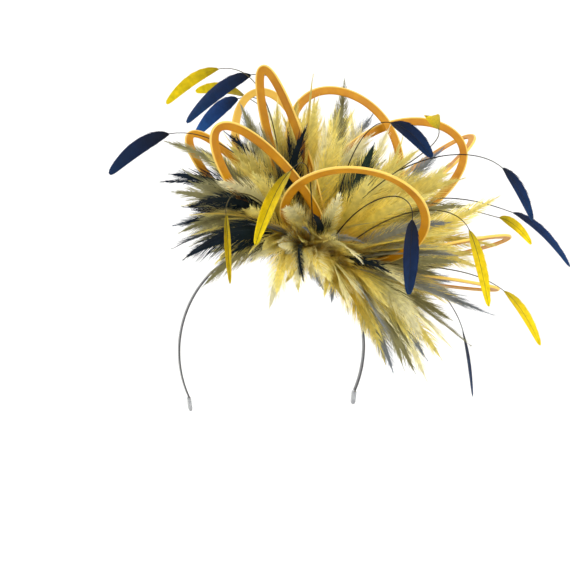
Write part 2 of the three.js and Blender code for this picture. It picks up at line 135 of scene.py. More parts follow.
# Single feathers that stand out from the fans. The tip is the pixel of the photo where a feather ends, and
# the depth is how far behind the middle of the view it is there.
SINGLE_HACKLES = [
    dict(dye="DARK", tip=(186, 257), depth=-85, start=28, droop=0.42, curl=0.0, roll=-85, half=15),
    dict(dye="DARK", tip=(200, 246), depth=-85, start=28, droop=0.36, curl=0.1, roll=-90, half=13),
    dict(dye="DARK", tip=(194, 206), depth=-80, start=22, droop=0.5, curl=0.1, roll=85, half=10),
    dict(dye="KHAKI", tip=(181, 232), depth=-71, start=26, droop=0.4, curl=0.1, roll=-90, half=8),
    dict(dye="DARK", tip=(166, 181), depth=20, start=24, droop=0.35, curl=0.1, roll=-85, half=4),
    dict(dye="DARK", tip=(226, 134), depth=40, start=20, droop=0.2, curl=0.15, roll=-70, half=6),
    dict(dye="DARK", tip=(392, 273), depth=-70, start=26, droop=0.3, curl=0.0, roll=-60, half=6),
    dict(dye="GREEN", tip=(373.8, 145.1), depth=9.1, start=12, droop=0.1, curl=0.1, roll=35, half=15),
    dict(dye="SLATE", tip=(363, 243), depth=-85, start=22, droop=0.3, curl=0.1, roll=-15, half=5),
    dict(dye="DARK", tip=(303, 281), depth=-80, start=22, droop=0.9, curl=0.35, roll=75, half=4),
    dict(dye="SLATE", tip=(372, 116), depth=75, start=15, droop=0.1, curl=-0.1, roll=-20, half=9),
    dict(dye="KHAKI", tip=(343, 83), depth=55, start=12, droop=0.05, curl=0.12, roll=-25, half=9),
    dict(dye="KHAKI", tip=(168, 142), depth=40, start=24, droop=0.25, curl=0.1, roll=-80, half=6),
    dict(dye="SLATE", tip=(243, 107), depth=65, start=18, droop=0.1, curl=-0.1, roll=-70, half=10),
    dict(dye="SLATE", tip=(440, 150), depth=60, start=18, droop=0.15, curl=0.1, roll=45, half=10),
    dict(dye="SLATE", tip=(448, 222), depth=-30, start=22, droop=0.2, curl=0.1, roll=-70, half=7),
    dict(dye="CREAM", tip=(295, 287), depth=-80, start=28, droop=0.8, curl=-0.1, roll=35, half=9),
    dict(dye="CREAM", tip=(350, 311), depth=-75, start=26, droop=0.8, curl=0.1, roll=-35, half=10),
    dict(dye="CREAM", tip=(363, 264), depth=-90, start=24, droop=0.5, curl=0.1, roll=-10, half=10),
    dict(dye="LEMON", tip=(216, 262), depth=-45, start=26, droop=0.5, curl=0.0, roll=-80, half=8),
    dict(dye="CREAM", tip=(287, 206), depth=-85, start=10, droop=0.35, curl=0.1, roll=60, half=8),
    dict(dye="CREAM", tip=(340, 194), depth=-80, start=10, droop=0.2, curl=-0.1, roll=0, half=8),
    dict(dye="LEMON", tip=(305, 112), depth=40, start=10, droop=0.1, curl=-0.15, roll=-65, half=12),
    dict(dye="LEMON", tip=(330, 118), depth=10, start=8, droop=0.1, curl=0.15, roll=-55, half=12),
    dict(dye="LEMON", tip=(352, 112), depth=50, start=10, droop=0.1, curl=-0.2, roll=-45, half=13),
    dict(dye="CREAM", tip=(389, 129), depth=41, start=10, droop=0.1, curl=0.15, roll=25, half=13),
    dict(dye="LEMON", tip=(418, 150), depth=20, start=14, droop=0.1, curl=-0.1, roll=35, half=13),
    dict(dye="LEMON", tip=(400, 172), depth=-20, start=8, droop=0.1, curl=0.2, roll=-30, half=13),
    dict(dye="STRAW", tip=(283, 118), depth=30, start=12, droop=0.1, curl=0.2, roll=-60, half=12),
    dict(dye="LEMON", tip=(262, 140), depth=0, start=12, droop=0.1, curl=-0.2, roll=-85, half=12),
    dict(dye="LEMON", tip=(240, 160), depth=-30, start=14, droop=0.2, curl=0.2, roll=85, half=12),
    dict(dye="LEMON", tip=(370, 175), depth=-40, start=8, droop=0.15, curl=-0.2, roll=-35, half=12),
    dict(dye="LEMON", tip=(430, 195), depth=-20, start=14, droop=0.15, curl=0.2, roll=-70, half=13),
    dict(dye="STRAW", tip=(460, 179), depth=30, start=18, droop=0.15, curl=-0.15, roll=55, half=13),
    dict(dye="STRAW", tip=(470, 215), depth=10, start=20, droop=0.2, curl=0.15, roll=80, half=12),
    dict(dye="LEMON", tip=(318, 101), depth=20, start=10, droop=0.1, curl=-0.2, roll=-70, half=13),
    dict(dye="CREAM", tip=(306, 106), depth=70, start=12, droop=0.1, curl=0.2, roll=-30, half=13),
    dict(dye="LEMON", tip=(335, 108), depth=50, start=12, droop=0.1, curl=0.2, roll=-15, half=13),
    dict(dye="STRAW", tip=(296, 104), depth=30, start=12, droop=0.1, curl=-0.2, roll=-70, half=12),
    dict(dye="CREAM", tip=(264, 108), depth=50, start=16, droop=0.15, curl=0.2, roll=-55, half=12),
    dict(dye="LEMON", tip=(276, 104), depth=30, start=14, droop=0.1, curl=-0.2, roll=-75, half=12),
    dict(dye="KHAKI", tip=(248, 119), depth=30, start=18, droop=0.15, curl=-0.2, roll=-80, half=12),
    dict(dye="LEMON", tip=(300, 122), depth=60, start=14, droop=0.1, curl=-0.2, roll=-60, half=11),
    dict(dye="CREAM", tip=(362, 126), depth=60, start=12, droop=0.1, curl=0.2, roll=10, half=11),
    dict(dye="LEMON", tip=(378, 150), depth=25, start=10, droop=0.1, curl=-0.2, roll=-25, half=12),
    dict(dye="LEMON", tip=(345, 136), depth=-8, start=8, droop=0.1, curl=-0.25, roll=-90, half=12),
    dict(dye="LEMON", tip=(448, 165), depth=50, start=20, droop=0.15, curl=0.2, roll=60, half=12),
    dict(dye="STRAW", tip=(492, 245), depth=30, start=26, droop=0.25, curl=-0.15, roll=70, half=11),
    dict(dye="LEMON", tip=(440, 357), depth=-11, start=28, droop=0.7, curl=0.1, roll=85, half=11),
    dict(dye="CREAM", tip=(414, 348), depth=-40, start=28, droop=0.7, curl=-0.1, roll=-90, half=11),
    dict(dye="STRAW", tip=(386, 352), depth=-50, start=28, droop=0.8, curl=0.15, roll=75, half=10),
    dict(dye="STRAW", tip=(223, 190), depth=-40, start=18, droop=0.3, curl=-0.1, roll=80, half=12),
    dict(dye="LEMON", tip=(210, 225), depth=-40, start=22, droop=0.35, curl=0.1, roll=-90, half=12),
]


def unit(v):
    return v / np.linalg.norm(v, axis=-1, keepdims=True)


def direction(bearing, rise):
    b, r = math.radians(bearing), math.radians(rise)
    return np.array([math.cos(r) * math.cos(b), math.cos(r) * math.sin(b), math.sin(r)])


def level(bearing):
    return direction(bearing + 90, 0)


def turned(v, axis, degrees):
    """v turned about a unit axis."""
    a = math.radians(degrees)
    across = np.cross(axis, v)
    return v * math.cos(a) + across * math.sin(a) + axis * np.dot(axis, v) * (1 - math.cos(a))


def lerp(a, b, t):
    return a + (b - a) * t


def smoothstep(x, low, high):
    t = np.clip((x - low) / (high - low), 0, 1)
    return t * t * (3 - 2 * t)


UP = np.array([0.0, 0.0, 1.0])


def band_point(angle, offset):
    """A point of the band's arc at offset outwards from its underside, and the way out from there."""
    a = math.radians(angle)
    out = unit(np.array([BAND["rise"] * math.sin(a), 0, BAND["half_width"] * math.cos(a)]))
    at = np.array([BAND["half_width"] * math.sin(a), 0, BAND["rise"] * (math.cos(a) - 1)])
    return at + out * offset, out


def crest_frame():
    """The centre of the sphere that the base is a cap of, and the turn that tilts the base."""
    contact, out = band_point(BASE["seat_angle"], BAND["thickness"] + GAP)
    lean = Matrix.Rotation(math.atan2(out[0], out[2]), 3, "Y")
    front = Matrix.Rotation(math.radians(BASE["tilt_front"]), 3, "X")
    return contact - out * BASE["inner_radius"], np.array(lean @ front)


CREST, CREST_TURN = crest_frame()
PAD_FLOOR = BASE["inner_radius"] + BASE["thickness"] + GAP


def on_crest(point):
    """Turns a point of the crest's own frame, whose axis is the base's, into one of the part's frame."""
    return CREST + CREST_TURN @ np.asarray(point, float)


def pad_height(r):
    rim = math.sqrt(PAD_FLOOR**2 - PAD["radius"] ** 2) + PAD["edge"]
    return rim + PAD["crown"] * math.sqrt(max(0, 1 - (r / PAD["radius"]) ** 2))


def root_point(bearing, r, depth):
    x, y, _ = direction(bearing, 0) * r
    return on_crest([x, y, pad_height(r) - depth])


def view_axes():
    """The directions to the right, up and back to the camera in the photo."""
    a, e = math.radians(VIEW["azimuth"]), math.radians(VIEW["elevation"])
    right = np.array([math.cos(a), math.sin(a), 0])
    back = np.array([math.sin(a) * math.cos(e), -math.cos(a) * math.cos(e), math.sin(e)])
    return right, np.cross(back, right), back


def photo_point(pixel, depth):
    """What shows at a pixel of the photo, at a depth behind the middle of the view."""
    right, up, back = view_axes()
    span = (VIEW["distance"] / MM + depth) * VIEW["sensor"] / (VIEW["lens"] * PHOTO_SIZE)
    across, down = np.array(pixel) - PHOTO_SIZE / 2
    return np.array(MIDDLE) / MM + span * (across * right - down * up) - back * depth


class Heap:
    """Vertices and faces of one mesh, with a tint and a run coordinate at each vertex."""

    def __init__(self):
        self.vertices, self.tints, self.runs, self.faces = [], [], [], []
        self.count = 0

    def add(self, vertices, faces, tint, run=None):
        """faces is a list of arrays of vertex numbers, one array for each count of corners."""
        vertices = np.asarray(vertices, float).reshape(-1, 3)
        n = len(vertices)
        self.vertices.append(vertices)
        self.tints.append(np.broadcast_to(tint, (n, 3)))
        self.runs.append(np.zeros((n, 3)) if run is None else run)
        self.faces += [np.asarray(f) + self.count for f in faces]
        self.count += n

    def piece(self, name, material):
        """Makes the mesh, shaded smooth, and lets it ride on the part's one body."""
        mesh = bpy.data.meshes.new(name)
        vertices = np.vstack(self.vertices) * MM
        corners = np.concatenate([f.ravel() for f in self.faces])
        sizes = np.concatenate([np.full(len(f), f.shape[1]) for f in self.faces])
        starts = np.concatenate([[0], np.cumsum(sizes)[:-1]])
        mesh.vertices.add(len(vertices))
        mesh.vertices.foreach_set("co", vertices.astype(np.float32).ravel())
        mesh.loops.add(len(corners))
        mesh.loops.foreach_set("vertex_index", corners.astype(np.int32))
        mesh.polygons.add(len(sizes))
        mesh.polygons.foreach_set("loop_start", starts.astype(np.int32))
        mesh.polygons.foreach_set("use_smooth", np.ones(len(sizes), bool))
        colour = np.ones((len(vertices), 4), np.float32)
        colour[:, :3] = np.vstack(self.tints)
        tint = mesh.color_attributes.new("tint", "FLOAT_COLOR", "POINT")
        tint.data.foreach_set("color", colour.ravel())
        run = mesh.attributes.new("run", "FLOAT_VECTOR", "POINT")
        run.data.foreach_set("vector", np.vstack(self.runs).astype(np.float32).ravel())
        mesh.update(calc_edges=True)
        mesh.validate()
        mesh.materials.append(material)
        made = bpy.data.objects.new(name, mesh)
        bpy.context.scene.collection.objects.link(made)
        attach(made, "root")
        return made


def grid_faces(rows, columns, around=False):
    """Quads of a grid of vertices. With around, each row closes on itself."""
    i = np.arange(rows - 1)[:, None] * columns
    j = np.arange(columns if around else columns - 1)[None, :]
    k = (j + 1) % columns
    return np.stack([i + j, i + k, i + columns + k, i + columns + j], axis=-1).reshape(-1, 4)


def sweep(heap, points, side, width, thickness, section, tint):
    """Sweeps a section along points and closes both ends. side is the way of its width at each point."""
    rows, columns = len(points), len(section)
    along = unit(np.gradient(points, axis=0))
    side = unit(side - along * np.sum(side * along, axis=1, keepdims=True))
    face = np.cross(along, side)
    flat = section[None, :, 0:1] * np.reshape(width, (-1, 1, 1)) * side[:, None]
    deep = section[None, :, 1:2] * np.reshape(thickness, (-1, 1, 1)) * face[:, None]
    steps = np.linalg.norm(np.diff(points, axis=0), axis=1)
    length = np.concatenate([[0], np.cumsum(steps)])
    run = np.zeros((rows, columns, 3))
    run[..., 0] = length[:, None]
    run[..., 1] = np.arange(columns) / columns
    run[..., 2] = section[:, 0]
    first = np.arange(columns)[None, ::-1]
    ends = np.vstack([first, (rows - 1) * columns + first[:, ::-1]])
    vertices = (points[:, None] + flat + deep).reshape(-1, 3)
    tints = np.broadcast_to(np.asarray(tint, float), (rows, columns, 3)).reshape(-1, 3)
    heap.add(vertices, [grid_faces(rows, columns, around=True), ends], tints, run.reshape(-1, 3))


def circle(count):
    """The angles of a closed ring of points."""
    return np.arange(count) / count * 2 * math.pi


def squircle(count, power):
    """A closed section inside the unit square, from a circle at power 2 towards a square."""
    a = circle(count)
    wave = np.stack([np.cos(a), np.sin(a)], axis=1)
    return 0.5 * np.sign(wave) * abs(wave) ** (2 / power)


def srgb(code):
    """A web colour code as linear red, green and blue."""
    parts = [int(code[i:i + 2], 16) / 255 for i in (0, 2, 4)]
    return np.array([c / 12.92 if c < 0.04045 else ((c + 0.055) / 1.055) ** 2.4 for c in parts])


# The satin's tones; edge is the colour of the painted highlight along the loops' outer fold.
SATIN = dict(deep=srgb("a86a00"), light=srgb("c08400"), edge=srgb("eec65c"))
STRAW = dict(gap=srgb("7a5a22"), thread=srgb("d8b560"))
# The quills' shafts, their leaves from root to tip, and how much brighter the barbs' ends are than their
# roots, which are painted darker as painted shade near the shaft.
NAVY = dict(shaft=srgb("1c1812"), vane=[srgb(code) for code in ("020a1a", "041a3c", "07284e")], edge=1.3)
YELLOW = dict(shaft=srgb("4a4220"), vane=[srgb(code) for code in ("b09a08", "e6c804", "ecd404")], edge=1.05)


def node(tree, kind, **settings):
    made = tree.nodes.new("ShaderNode" + kind)
    for key, value in settings.items():
        if key in made.inputs:
            made.inputs[key].default_value = value
        else:
            setattr(made, key, value)
    return made


def new_material(name):
    material = bpy.data.materials.new(name)
    material.use_nodes = True
    tree = material.node_tree
    tree.nodes.clear()
    return material, tree


def finish_material(tree, shader):
    out = node(tree, "OutputMaterial")
    tree.links.new(shader.outputs[0], out.inputs["Surface"])


def noise(tree, vector, scale, detail=3.0, low=0.0, high=1.0):
    """Noise on a vector, mapped to run from low to high."""
    made = node(tree, "TexNoise", Scale=scale, Detail=detail)
    tree.links.new(vector, made.inputs["Vector"])
    ranged = node(tree, "MapRange")
    tree.links.new(made.outputs["Fac"], ranged.inputs["Value"])
    for key, value in {"From Min": 0.3, "From Max": 0.7, "To Min": low, "To Max": high}.items():
        ranged.inputs[key].default_value = value
    return ranged.outputs["Result"]


def stretched(tree, vector, scale):
    made = node(tree, "Mapping")
    made.inputs["Scale"].default_value = scale
    tree.links.new(vector, made.inputs["Vector"])
    return made.outputs["Vector"]


def shaded(tree, colour, factor):
    """A colour output multiplied by a number output."""
    made = node(tree, "VectorMath", operation="SCALE")
    tree.links.new(colour, made.inputs[0])
    tree.links.new(factor, made.inputs["Scale"])
    return made.outputs["Vector"]


def blended(tree, factor, first, second):
    """Two colours, given as outputs or as numbers, blended by a number output."""
    made = node(tree, "Mix", data_type="RGBA")
    tree.links.new(factor, made.inputs["Factor"])
    colours = [socket for socket in made.inputs if socket.type == "RGBA"]
    for value, socket in zip((first, second), colours):
        if isinstance(value, bpy.types.NodeSocket):
            tree.links.new(value, socket)
        else:
            socket.default_value = (*value, 1)
    return next(socket for socket in made.outputs if socket.type == "RGBA")


def bumped(tree, height, distance, strength):
    made = node(tree, "Bump", Distance=distance, Strength=strength)
    tree.links.new(height, made.inputs["Height"])
    return made.outputs["Normal"]


def attribute(tree, name, output):
    return node(tree, "Attribute", attribute_name=name).outputs[output]


def place(tree):
    return node(tree, "TexCoord").outputs["Object"]


def feather_material(name, roughness, through, sheen):
    """Barbs: their own tint, mottled a little, with light coming through the vane."""
    material, tree = new_material(name)
    at = place(tree)
    mottle = noise(tree, at, 260, low=0.84, high=1.12)
    colour = shaded(tree, attribute(tree, "tint", "Color"), mottle)
    fibres = noise(tree, at, 2600, detail=2)
    shader = node(tree, "BsdfPrincipled", Roughness=roughness)
    shader.inputs["Specular IOR Level"].default_value = 0.15
    shader.inputs["Sheen Weight"].default_value = sheen
    shader.inputs["Sheen Roughness"].default_value = 0.4
    tree.links.new(colour, shader.inputs["Base Color"])
    tree.links.new(bumped(tree, fibres, 0.0002, 0.5), shader.inputs["Normal"])
    back = node(tree, "BsdfTranslucent")
    tree.links.new(colour, back.inputs["Color"])
    both = node(tree, "MixShader")
    both.inputs["Fac"].default_value = through
    tree.links.new(shader.outputs[0], both.inputs[1])
    tree.links.new(back.outputs[0], both.inputs[2])
    finish_material(tree, both)
    return material


def satin_material():
    """Ribbon satin: close threads along the run, soft wrinkles across it and a paler outer fold, a painted
    highlight where the light catches it.
    """
    material, tree = new_material("golden_satin")
    run = attribute(tree, "run", "Vector")
    shade = noise(tree, place(tree), 60)
    colour = blended(tree, shade, SATIN["deep"], SATIN["light"])
    # The tint attribute paints the highlight along the outer fold.
    colour = blended(tree, attribute(tree, "tint", "Fac"), colour, SATIN["edge"])
    wrinkles = noise(tree, stretched(tree, run, (0.16, 2.2, 0.3)), 1.0, detail=4)
    threads = noise(tree, stretched(tree, run, (0.5, 60.0, 1.0)), 1.0, detail=2)
    height = node(tree, "Math", operation="MULTIPLY_ADD")
    tree.links.new(threads, height.inputs[0])
    height.inputs[1].default_value = 0.14
    tree.links.new(wrinkles, height.inputs[2])
    shader = node(tree, "BsdfPrincipled")
    shader.inputs["Sheen Weight"].default_value = 0.08
    shader.inputs["Sheen Roughness"].default_value = 0.35
    shader.inputs["Sheen Tint"].default_value = (1.0, 0.8, 0.4, 1)
    shader.inputs["Specular IOR Level"].default_value = 0.28
    tree.links.new(colour, shader.inputs["Base Color"])
    tree.links.new(noise(tree, run, 0.5, low=0.34, high=0.46), shader.inputs["Roughness"])
    tree.links.new(bumped(tree, height.outputs[0], 0.0004, 0.5), shader.inputs["Normal"])
    finish_material(tree, shader)
    return material


def gloss_material():
    """Black lacquer on the band, with faint scratches along it."""
    material, tree = new_material("black_lacquer")
    run = attribute(tree, "run", "Vector")
    shader = node(tree, "BsdfPrincipled")
    shader.inputs["Coat Weight"].default_value = 0.6
    shader.inputs["Coat Roughness"].default_value = 0.08
    colour = blended(tree, noise(tree, place(tree), 90), (0.006, 0.006, 0.008), (0.02, 0.02, 0.024))
    tree.links.new(colour, shader.inputs["Base Color"])
    scratches = noise(tree, stretched(tree, run, (0.15, 40.0, 1.0)), 1.0, low=0.16, high=0.34)
    tree.links.new(scratches, shader.inputs["Roughness"])
    tree.links.new(bumped(tree, scratches, 0.0001, 0.4), shader.inputs["Normal"])
    finish_material(tree, shader)
    return material


def silver_material():
    """Nickel-plated end pieces, a little dulled."""
    material, tree = new_material("nickel_plate")
    at = place(tree)
    shader = node(tree, "BsdfPrincipled", Metallic=1.0)
    colour = blended(tree, noise(tree, at, 300), (0.26, 0.27, 0.28), (0.46, 0.47, 0.48))
    tree.links.new(colour, shader.inputs["Base Color"])
    tree.links.new(noise(tree, at, 700, low=0.18, high=0.4), shader.inputs["Roughness"])
    tree.links.new(bumped(tree, noise(tree, at, 1500), 0.0001, 0.3), shader.inputs["Normal"])
    finish_material(tree, shader)
    return material


def straw_material():
    """Stiffened straw cloth: two sets of crossing threads."""
    material, tree = new_material("straw_cloth")
    at = place(tree)
    threads = []
    for way in ("X", "Y"):
        wave = node(tree, "TexWave", bands_direction=way, Scale=190.0, Distortion=1.5, Detail=2.0)
        wave.inputs["Detail Scale"].default_value = 2.0
        tree.links.new(at, wave.inputs["Vector"])
        threads.append(wave.outputs["Fac"])
    weave = node(tree, "Math", operation="MAXIMUM")
    for number, thread in enumerate(threads):
        tree.links.new(thread, weave.inputs[number])
    colour = blended(tree, weave.outputs[0], STRAW["gap"], STRAW["thread"])
    colour = shaded(tree, colour, noise(tree, at, 120, low=0.8, high=1.1))
    shader = node(tree, "BsdfPrincipled")
    tree.links.new(colour, shader.inputs["Base Color"])
    tree.links.new(noise(tree, at, 400, low=0.55, high=0.8), shader.inputs["Roughness"])
    tree.links.new(bumped(tree, weave.outputs[0], 0.0006, 0.8), shader.inputs["Normal"])
    finish_material(tree, shader)
    return material


FRONT = np.array([0.0, -1.0, 0.0])


def make_headband(material):
    """A thin band with rounded edges, from one end piece to the other."""
    angles = np.linspace(-BAND["end_angle"], BAND["end_angle"], 260)
    points = np.array([band_point(a, BAND["thickness"] / 2)[0] for a in angles])
    heap = Heap()
    across = np.tile(FRONT, (len(points), 1))
    width, thickness = (np.full(len(points), BAND[key]) for key in ("width", "thickness"))
    sweep(heap, points, across, width, thickness, squircle(20, 3.2), 1)
    band = heap.piece("headband_lacquered", material)
    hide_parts("headband")


def make_tip(name, sign, material):
    """A folded metal end piece with two crimped rings and a rounded nose."""
    end = band_point(sign * BAND["end_angle"], BAND["thickness"] / 2)[0]
    before = band_point(sign * (BAND["end_angle"] - 3), BAND["thickness"] / 2)[0]
    along = turned(unit(end - before), FRONT, sign * TIP["flare"])
    share = np.linspace(0, 1, 60)
    points = end + along * (GAP + share[:, None] * TIP["length"])
    nose = np.sqrt(np.clip(1 - ((share - 0.72) / 0.285).clip(0) ** 2, 0.02, 1))
    crimp = np.ones(len(share))
    for place_along in TIP["crimps"]:
        crimp -= TIP["crimp_depth"] * np.exp(-(((share - place_along) / 0.03) ** 2))
    lip = np.where(share < 0.03, 0.86, 1.0)
    heap = Heap()
    across = np.tile(FRONT, (len(points), 1))
    width = TIP["width"] * nose * lip * (1 - 0.04 * (1 - crimp))
    sweep(heap, points, across, width, TIP["thickness"] * nose * crimp * lip, squircle(28, 3.0), 1)
    tip = heap.piece(name + "_plated", material)
    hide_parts(name)


def lathed(heap, profile, segments, tint=(1, 1, 1)):
    """A surface of revolution about the crest's axis. profile is rows of radius and height."""
    a = circle(segments)
    ring = np.stack([np.cos(a), np.sin(a), np.zeros(segments)], axis=1)
    local = profile[:, None, 0:1] * ring[None] + profile[:, None, 1:2] * UP
    world = CREST + local.reshape(-1, 3) @ CREST_TURN.T
    heap.add(world, [grid_faces(len(profile), segments, around=True)], tint)


def make_base(material):
    """A dished disc of stiffened cloth with a bound edge."""
    heap = Heap()
    binding = BASE["binding"]
    edge = BASE["radius"] - binding
    r = np.linspace(0.01, edge, 24)
    lower = np.stack([r, np.sqrt(BASE["inner_radius"] ** 2 - r**2) + BASE["inset"]], axis=1)
    upper = lower[::-1] + [0, BASE["thickness"] - 2 * BASE["inset"]]
    lathed(heap, np.vstack([lower, upper]), 96)
    middle = math.sqrt(BASE["inner_radius"] ** 2 - edge**2) + BASE["thickness"] / 2
    a = np.linspace(0, 2 * math.pi, 17)
    lathed(heap, np.stack([edge + binding * np.cos(a), middle + binding * np.sin(a)], axis=1), 96)
    base = heap.piece("base_straw_cloth", material)
    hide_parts("base_disc")


def make_heading(material):
    """The stitched dome that the feathers are sewn to, mostly hidden by them."""
    heap = Heap()
    r = PAD["radius"] * np.cos(np.linspace(0, math.pi / 2, 20))
    top = np.array([[max(x, 0.01), pad_height(x)] for x in r])
    floor_r = np.linspace(0.01, PAD["radius"], 8)
    floor = np.stack([floor_r, np.sqrt(PAD_FLOOR**2 - floor_r**2)], axis=1)
    lathed(heap, np.vstack([floor, top]), 72, srgb("8a6420"))
    heading = heap.piece("hackle_heading", material)


def loop_path(row, count):
    along = direction(row["bearing"], row["rise"])
    side = turned(level(row["bearing"]), along, row["roll"])
    foot = root_point(row["spot"], row["seat"], PAD["root_depth"])
    t = np.linspace(0, 2 * math.pi, count)
    bulge = lerp(1.3 * np.sin(t / 2), 1, row["full"]) * np.sin(t)
    feet = LOOP["foot_gap"] / 2 * np.cos(t / 2)
    across = row["breadth"] / 2 * bulge + feet + row["sway"] * np.sin(t) ** 2
    out = np.sin(t / 2) ** 2
    points = foot + along * (row["reach"] * out)[:, None] + side * across[:, None]
    return points, np.cross(along, side)


def wired_section(count):
    """A folded strip in section, flat with a wire in its outer fold, and the wire's share at each point,
    which also masks the painted highlight along that fold.
    """
    flat, deep = squircle(count, 2 / 0.55).T
    wire_and_highlight = smoothstep(-flat, 0.3, 0.36)
    return np.stack([flat, deep * lerp(0.5, 1.0, wire_and_highlight)], axis=1), wire_and_highlight


# Loops whose satin catches the light and looks paler, and by how much.
PALE = {"loop_back_round": 0.6}


def make_loop(row, material):
    points, normal = loop_path(row, 220)
    share = np.linspace(0, 1, len(points))
    along = unit(np.gradient(points, axis=0))
    outer = np.cross(along, normal)
    across = np.tile(normal, (len(points), 1))
    width = lerp(LOOP["foot_width"], LOOP["width"], smoothstep(np.minimum(share, 1 - share), 0, 0.16))
    section, wire_and_highlight = wired_section(34)
    # Painted highlight: the outer fold is painted paler, and a loop listed in PALE is painted paler all over,
    # where its satin catches the light.
    wire_and_highlight = lerp(PALE.get(row["name"], 0.0), 1, wire_and_highlight)
    heap = Heap()
    sweep(heap, points, outer, width, np.full(len(points), LOOP["thickness"]), section, 1)
    heap.tints[-1] = np.tile(np.repeat(wire_and_highlight[:, None], 3, axis=1), (len(points), 1))
    loop = heap.piece(row["name"] + "_satin", material)
    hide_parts(row["name"])


class Spine:
    """A feather's shaft: points along it, and the directions across and out of its vane."""

    def __init__(self, points, side):
        self.points = points
        self.along = unit(np.gradient(points, axis=0))
        self.side = unit(side - self.along * np.sum(side * self.along, axis=1, keepdims=True))
        self.face = np.cross(self.along, self.side)
        steps = np.linalg.norm(np.diff(points, axis=0), axis=1)
        self.length = steps.sum()
        self.share = np.concatenate([[0], np.cumsum(steps)]) / self.length

    def read(self, rows, share):
        return np.stack([np.interp(share, self.share, rows[:, k]) for k in range(3)], axis=-1)

    def place(self, share, across, out):
        """Points at a share of the length, across and out of the vane, or past the shaft's end."""
        past = np.maximum(share - 1, 0) * self.length
        at = self.read(self.points, share) + self.along[-1] * past[..., None]
        at = at + self.read(self.side, share) * across[..., None]
        return at + self.read(self.face, share) * out[..., None]

    def shaft(self, heap, root_radius, tip_radius, tint):
        """A tapering shaft, three-sided in section."""
        width = np.linspace(root_radius, tip_radius, len(self.points)) * 2
        section = 0.5 * np.array([[1, 0], [-0.5, 0.87], [-0.5, -0.87]])
        sweep(heap, self.points, self.side, width, width, section, tint)


# Where a barb has its points, as shares of its own length.
STATIONS = np.array([0.0, 0.55, 1.0])


def barbs(heap, spine, tips, half, sign, look, tint):
    """One side of a vane: thin tapering ribbons that leave the shaft, bend forward and end in tufts.

    tips is where each barb ends as a share of the shaft's length, and half is how far across. look gives
    the lean at the root and at the tip of the vane, the width, the barbs in a tuft and their pull together,
    how ragged and uneven they end, the fray and cup out of the vane, and where on the shaft they start.
    tint turns shares of the length and of the barb, and a number for each barb, into colours."""
    tuft = np.cumsum(rng.random(len(tips)) < 1 / look["tuft"])
    tuft -= tuft[0]
    members = np.bincount(tuft)
    middle = (np.bincount(tuft, tips) / members)[tuft]
    loose = rng.normal(size=len(members))[tuft]
    own = rng.normal(size=(2, len(tips)))
    lean = np.radians(lerp(look["lean"], look["tip_lean"], np.clip(tips, 0, 1)))
    back = half / np.tan(lean) / spine.length
    start = np.maximum(tips - back, look["start"] + 0.02 * rng.random(len(tips)))
    end = lerp(tips, middle, look["pull"]) + look["ragged"] * (0.6 * loose + own[0])
    reach = half * (1 + look["uneven"] * own[1] - 0.04 * abs(loose))
    u = STATIONS[None, :]
    turn = lerp(start, end, 0.35)[:, None]
    share = (1 - u) ** 2 * start[:, None] + 2 * u * (1 - u) * turn + u**2 * end[:, None]
    across = (2 * u * (1 - u) * 0.6 + u**2) * reach[:, None]
    out = look["cup"] * across**2 / 10 + u**2 * look["fray"] * (0.8 * loose + 0.5 * own[0])[:, None]
    centre = spine.place(share, sign * across, out)
    run = np.gradient(centre, axis=1)
    face = spine.read(spine.face, share)
    wide = unit(unit(np.cross(face, run)) + 0.3 * face)
    taper = look["width"] * np.array([0.9, 1.0])[None, :, None] / 2
    edge = wide[:, :2] * taper
    pairs = np.stack([centre[:, :2] - edge, centre[:, :2] + edge], axis=2).reshape(len(tips), 4, 3)
    vertices = np.concatenate([pairs, centre[:, 2:]], axis=1)
    first = 5 * np.arange(len(tips))[:, None]
    at = np.repeat(share, [2, 2, 1], axis=1)
    depth = np.repeat(np.broadcast_to(u, share.shape), [2, 2, 1], axis=1)
    colours = tint(at, depth, (loose + 0.6 * own[1])[:, None])
    heap.add(vertices, [first + [0, 1, 3, 2], first + [2, 3, 4]], colours.reshape(-1, 3))


WEB = dict(rows=27, columns=5, end=0.998, behind=0.25, shade=0.9)


def web(heap, spine, tips, half, inner, look, tint):
    """The close part of a vane, a little behind the barbs, to the share inner of their reach."""
    share = np.linspace(look["start"], WEB["end"], WEB["rows"])
    across = np.linspace(-inner, inner, WEB["columns"])[None, :] * np.interp(share, tips, half)[:, None]
    out = look["cup"] * across**2 / 10 - WEB["behind"]
    at = np.repeat(share[:, None], WEB["columns"], axis=1)
    streak = np.repeat(rng.normal(size=(len(share), 1)), WEB["columns"], axis=1)
    colours = WEB["shade"] * tint(at, np.zeros(across.shape), streak)
    heap.add(spine.place(at, across, out), [grid_faces(*at.shape)], colours.reshape(-1, 3))


def tinted(stops, edge, spread):
    """A tint from root through middle to tip, edge times as bright at the barbs' ends as at their roots,
    which carry painted shade near the shaft, with some spread.
    """
    stops = np.array(stops)

    def tint(at, depth, loose):
        at = np.clip(at, 0, 1)
        colour = np.stack([np.interp(at, [0, 0.45, 1], stops[:, k]) for k in range(3)], axis=-1)
        # Painted shade: each barb is darker towards its root.
        bright = lerp(1, edge, depth**2) * (1 + spread * np.clip(loose, -2, 2))
        return colour * bright[..., None]

    return tint


